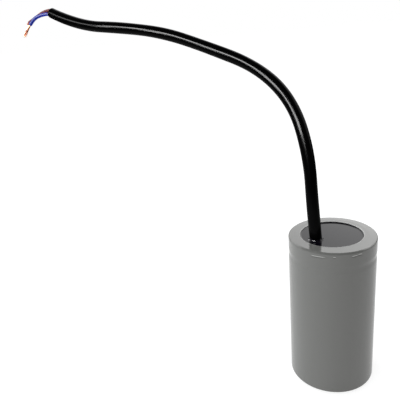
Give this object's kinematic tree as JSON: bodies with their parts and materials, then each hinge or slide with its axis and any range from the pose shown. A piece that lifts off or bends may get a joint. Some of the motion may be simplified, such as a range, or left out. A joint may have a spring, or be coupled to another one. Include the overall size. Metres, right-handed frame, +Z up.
{
  "type": "motor start capacitor",
  "caption": "Cylindrical motor start capacitor in a grey shrunk sleeve, with a beaded can, a black potted top and a black round cable that ends in stripped cores.",
  "frame": {"origin": "middle of the base, on the surface that the sleeve stands on", "axes": "+Z up along the can; the cable rises out of the top and bends away towards -X and a little +Y"},
  "size_m": [0.2435, 0.0973, 0.2333],
  "materials": {
    "sleeve_film": "grey heat-shrunk PVC film, glossy, slightly wrinkled at the bead",
    "can_metal": "satin extruded aluminium",
    "card": "pressed card",
    "element_paper": "capacitor paper and foil",
    "tape": "film tape",
    "phenolic": "phenolic laminate",
    "gasket_rubber": "moulded rubber",
    "resin": "glossy black potting resin",
    "rivet_metal": "set aluminium rivet",
    "tinned": "tinned metal",
    "solder": "bright solder",
    "copper": "bare copper strands",
    "blue_insulation": "blue PVC insulation",
    "brown_insulation": "brown PVC insulation",
    "jacket": "black PVC jacket"
  },
  "bodies": {
    "root": {"shrink_sleeve": "sleeve_film", "aluminium_can": "can_metal", "bottom_pad": "card", "can_liner": "card", "wound_element": "element_paper", "closing_tape": "tape", "deck_disc": "phenolic", "deck_gasket": "gasket_rubber", "potting_resin": "resin", "blue_foil_tab": "can_metal", "blue_rivet": "rivet_metal", "blue_rivet_washer": "tinned", "blue_solder_lug": "tinned", "blue_solder_joint": "solder", "blue_lead_in_wire": "copper", "blue_lead_in": "blue_insulation", "brown_foil_tab": "can_metal", "brown_rivet": "rivet_metal", "brown_rivet_washer": "tinned", "brown_solder_lug": "tinned", "brown_solder_joint": "solder", "brown_lead_in_wire": "copper", "brown_lead_in": "brown_insulation", "cable_jacket": "jacket", "blue_core": "blue_insulation", "brown_core": "brown_insulation", "blue_strands": "copper", "brown_strands": "copper"}
  },
  "joints": []
}
